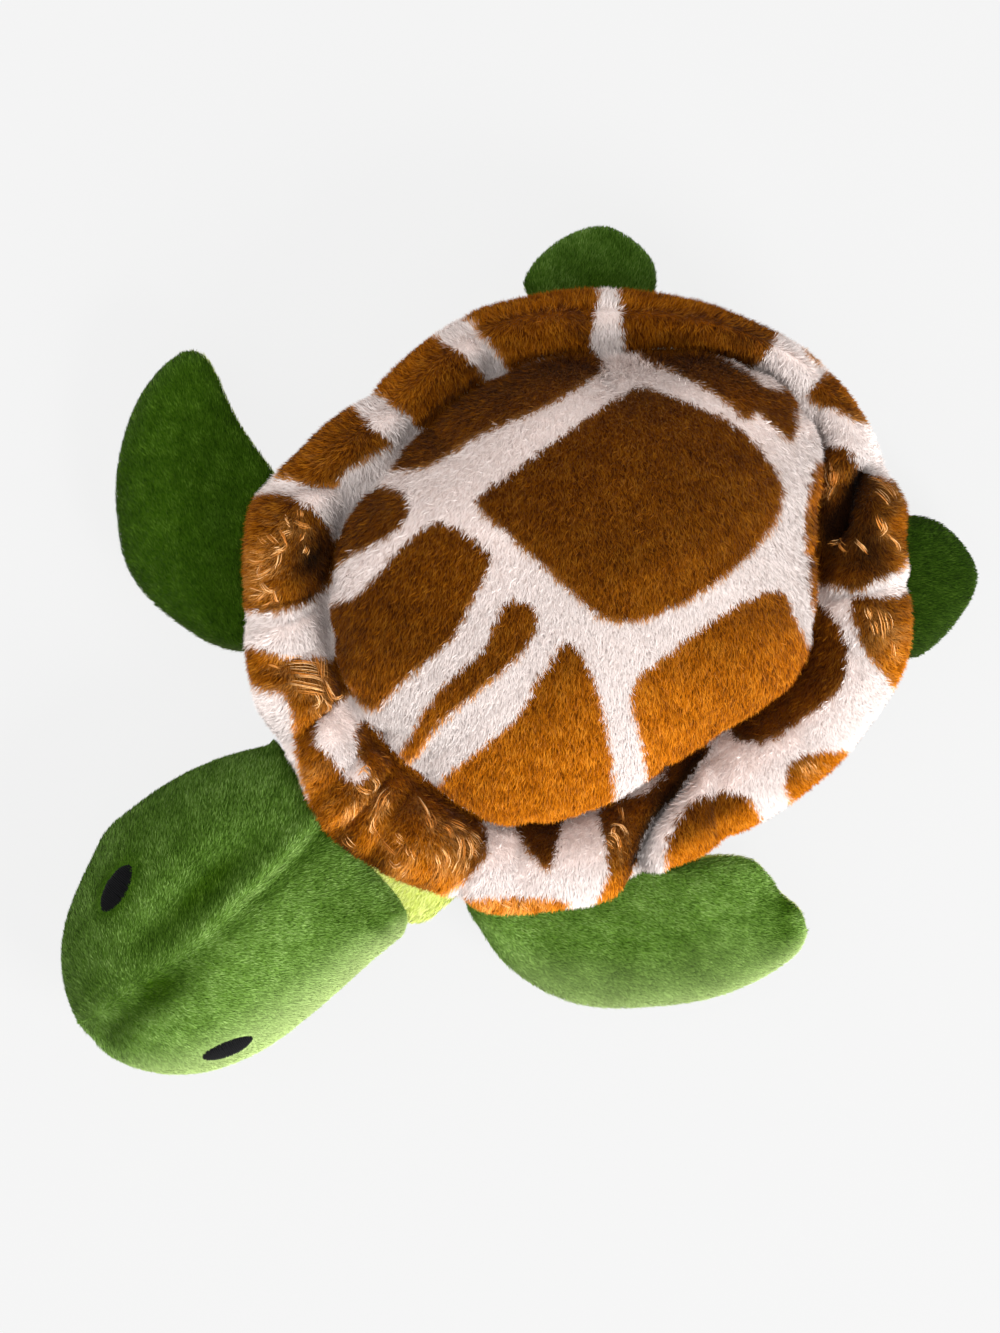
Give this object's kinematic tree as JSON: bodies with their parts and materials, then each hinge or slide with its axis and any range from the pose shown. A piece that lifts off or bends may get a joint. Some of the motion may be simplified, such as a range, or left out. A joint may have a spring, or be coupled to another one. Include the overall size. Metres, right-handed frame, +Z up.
{
  "type": "plush turtle",
  "caption": "Stuffed plush turtle with a patterned domed shell and padded brim, flat belly, head on a short neck, and flippers sewn into the side seam.",
  "frame": {"origin": "on the flat of the belly, under the middle of the shell's outline", "axes": "+Z up from the belly to the dome, -Y towards the head, +X towards the turtle's left"},
  "size_m": [0.2134, 0.2451, 0.0839],
  "materials": {
    "print_plush": "short pile plush, printed brown patches on white",
    "green_plush": "short pile plush",
    "lime_plush": "short pile plush",
    "lining_cloth": "plain woven cloth",
    "stuffing": "polyester fibre",
    "sewing_thread": "spun thread",
    "eye_thread": "satin stitch embroidery"
  },
  "bodies": {
    "body": {"shell_dome_cover": "print_plush", "shell_rim_cover": "print_plush", "rim_lining": "lining_cloth", "rim_fill": "stuffing", "body_fill": "stuffing", "belly_cover": "lime_plush", "crease_thread": "sewing_thread", "closing_stitch": "sewing_thread"},
    "neck": {"neck_cover": "lime_plush", "neck_fill": "stuffing"},
    "head": {"head_cover_right": "green_plush", "head_cover_left": "green_plush", "head_chin_cover": "lime_plush", "head_fill": "stuffing", "eye_right": "eye_thread", "eye_left": "eye_thread"},
    "front_right_flipper": {"front_right_flipper_top": "green_plush", "front_right_flipper_under": "lime_plush", "front_right_flipper_fill": "stuffing"},
    "front_left_flipper": {"front_left_flipper_top": "green_plush", "front_left_flipper_under": "lime_plush", "front_left_flipper_fill": "stuffing"},
    "rear_right_flipper": {"rear_right_flipper_top": "green_plush", "rear_right_flipper_under": "lime_plush", "rear_right_flipper_fill": "stuffing"},
    "rear_left_flipper": {"rear_left_flipper_top": "green_plush", "rear_left_flipper_under": "lime_plush", "rear_left_flipper_fill": "stuffing"}
  },
  "joints": [
    {"name": "neck_turn", "type": "hinge", "parent": "body", "child": "neck", "pos_m": [0.004, -0.08, 0], "axis": [0, 0, 1], "range_deg": [-15, 15], "stiffness_Nm_per_rad": 0.3},
    {"name": "head_nod", "type": "hinge", "parent": "neck", "child": "head", "pos_m": [0.00431, -0.08599, 0.035], "axis": [-0.9986, -0.0523, 0], "range_deg": [-12, 15], "stiffness_Nm_per_rad": 0.3},
    {"name": "front_right_flap", "type": "hinge", "parent": "body", "child": "front_right_flipper", "pos_m": [-0.0548, -0.05403, 0.02713], "axis": [-0.7451, 0.6669, 0], "range_deg": [-25, 25], "stiffness_Nm_per_rad": 0.05},
    {"name": "front_left_flap", "type": "hinge", "parent": "body", "child": "front_left_flipper", "pos_m": [0.05242, -0.04978, 0.02713], "axis": [-0.5899, -0.8075, 0], "range_deg": [-25, 25], "stiffness_Nm_per_rad": 0.05},
    {"name": "rear_right_flap", "type": "hinge", "parent": "body", "child": "rear_right_flipper", "pos_m": [-0.0527, 0.05518, 0.02713], "axis": [0.6169, 0.787, 0], "range_deg": [-25, 25], "stiffness_Nm_per_rad": 0.03},
    {"name": "rear_left_flap", "type": "hinge", "parent": "body", "child": "rear_left_flipper", "pos_m": [0.04194, 0.06469, 0.02713], "axis": [0.7443, -0.6679, 0], "range_deg": [-25, 25], "stiffness_Nm_per_rad": 0.03}
  ]
}
